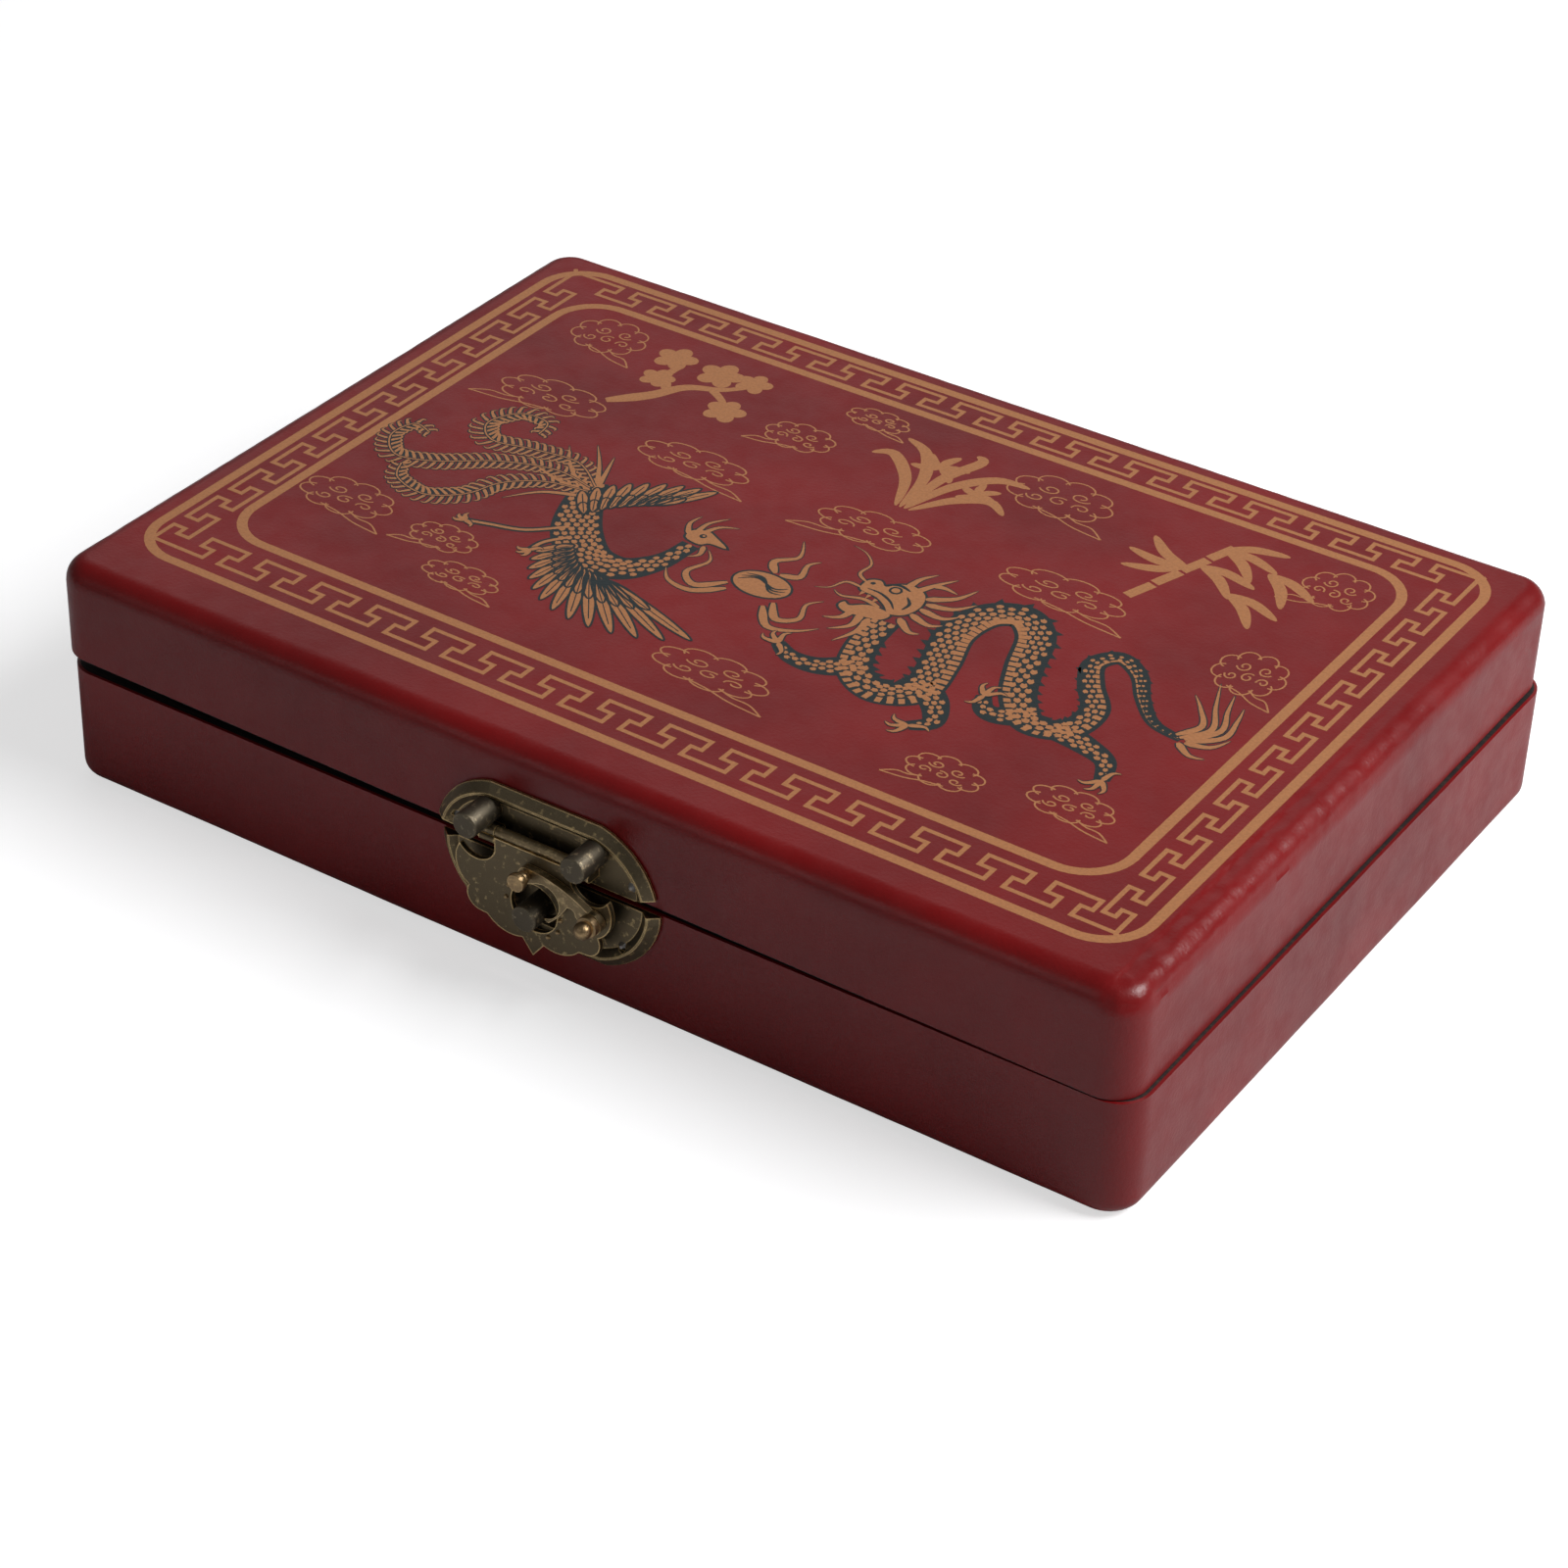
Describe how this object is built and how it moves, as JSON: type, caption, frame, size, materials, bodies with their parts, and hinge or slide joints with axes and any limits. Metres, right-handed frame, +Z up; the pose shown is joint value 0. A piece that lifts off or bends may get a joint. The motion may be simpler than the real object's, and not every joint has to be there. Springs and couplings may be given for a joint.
{
  "type": "hinged game case",
  "caption": "Flat leatherette-covered hinged case for a tile game, with rounded edges, loose inner trays and a front swing-lever clasp.",
  "frame": {"origin": "middle of the face that the case rests on", "axes": "+X along the long side, -Y towards the side with the clasp, +Z up"},
  "size_m": [0.2361, 0.1776, 0.048],
  "materials": {
    "red_leather": "pebbled leatherette, semi-gloss",
    "black_wood": "wood boards, sawn edges painted black",
    "lining": "short-pile lining",
    "padding": "thin foam sheet",
    "tray_card": "flocked tray",
    "bottom_paper": "black backing cloth",
    "antique_bronze": "antiqued, dark with rubbed edges",
    "dark_bronze": "antiqued, dark and matte",
    "bright_brass": "rubbed bright",
    "gold_print": "gold print on the lid's covering",
    "dark_print": "dark outline print on the lid's covering",
    "tack_steel": "plain tack"
  },
  "bodies": {
    "base": {"bottom_sheet": "bottom_paper", "bottom_board": "black_wood", "base_front_board": "black_wood", "base_rear_board": "black_wood", "base_left_board": "black_wood", "base_right_board": "black_wood", "base_leather": "red_leather", "base_lining": "lining", "lower_left_tray": "tray_card", "lower_right_tray": "tray_card", "upper_left_tray": "tray_card", "upper_right_tray": "tray_card", "left_hinge_base_leaf": "antique_bronze", "right_hinge_base_leaf": "antique_bronze", "left_hinge_pin": "dark_bronze", "right_hinge_pin": "dark_bronze", "base_hinge_tacks": "tack_steel", "clasp_lower_plate": "antique_bronze", "keeper_post": "dark_bronze", "lower_plate_tacks": "tack_steel"},
    "lid": {"lid_leather": "red_leather", "lid_padding": "padding", "lid_top_board": "black_wood", "lid_front_board": "black_wood", "lid_rear_board": "black_wood", "lid_left_board": "black_wood", "lid_right_board": "black_wood", "lid_lining": "lining", "left_hinge_lid_leaf": "antique_bronze", "right_hinge_lid_leaf": "antique_bronze", "lid_hinge_tacks": "tack_steel", "clasp_upper_plate": "antique_bronze", "clasp_left_post": "dark_bronze", "clasp_right_post": "dark_bronze", "clasp_hinge_pin": "dark_bronze", "upper_plate_tacks": "tack_steel"},
    "hasp": {"hasp": "antique_bronze", "lever_rivet": "bright_brass"},
    "lever": {"swing_lever": "antique_bronze", "thumb_knob": "bright_brass"}
  },
  "joints": [
    {"name": "lid_hinge", "type": "hinge", "parent": "base", "child": "lid", "pos_m": [0, 0.0839, 0.0263], "axis": [-1, 0, 0], "range_deg": [0, 180]},
    {"name": "hasp_hinge", "type": "hinge", "parent": "lid", "child": "hasp", "pos_m": [-0.00255, -0.0852, 0.0317], "axis": [-1, 0, 0], "range_deg": [0, 60]},
    {"name": "lever_pivot", "type": "hinge", "parent": "hasp", "child": "lever", "pos_m": [0.01125, -0.0872, 0.0223], "axis": [0, 1, 0], "range_deg": [0, 15]}
  ]
}
